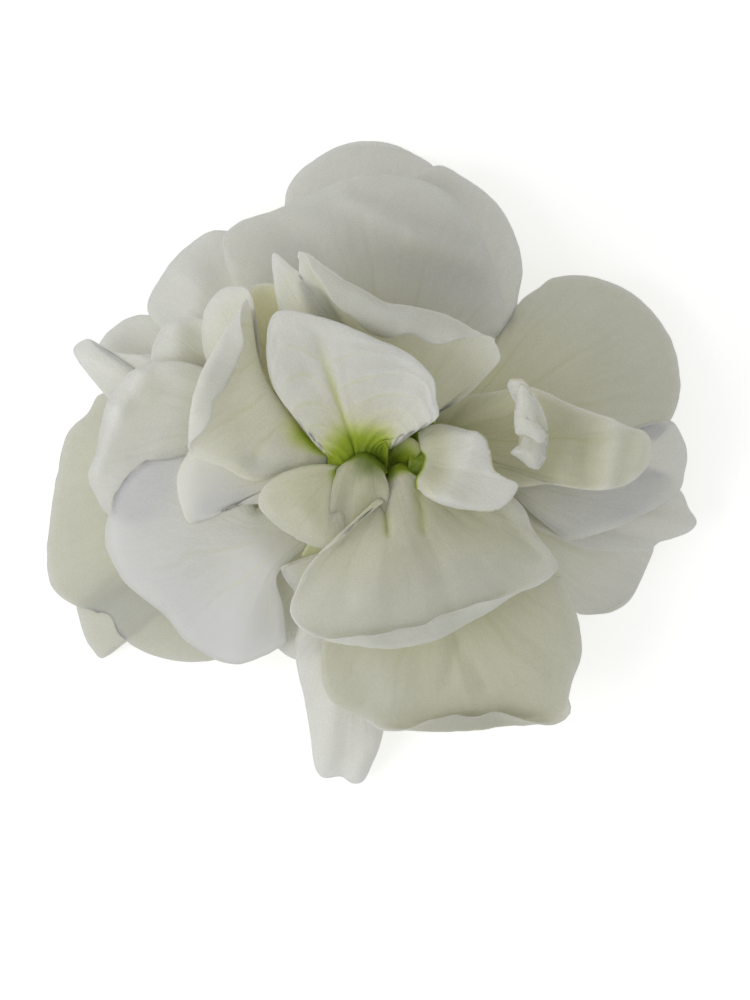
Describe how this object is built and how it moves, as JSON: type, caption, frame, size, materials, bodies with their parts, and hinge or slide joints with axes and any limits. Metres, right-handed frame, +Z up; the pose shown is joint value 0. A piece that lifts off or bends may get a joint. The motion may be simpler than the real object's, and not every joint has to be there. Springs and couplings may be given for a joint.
{
  "type": "stock flower",
  "caption": "Single double stock blossom: layered ruffled petals round a green throat, in a green calyx with a stub of stalk.",
  "frame": {"origin": "on the surface that the blossom lies on, under the middle of its outline", "axes": "+Z up, the way the blossom faces; +Y towards the bright upright petal behind the throat; +X to the right, seen from above"},
  "size_m": [0.0456, 0.0454, 0.0205],
  "materials": {
    "petal": "soft matt petal, faintly velvety",
    "sepal": "matt green sepal and stalk"
  },
  "bodies": {
    "root": {"petals": "petal", "calyx": "sepal"}
  },
  "joints": []
}
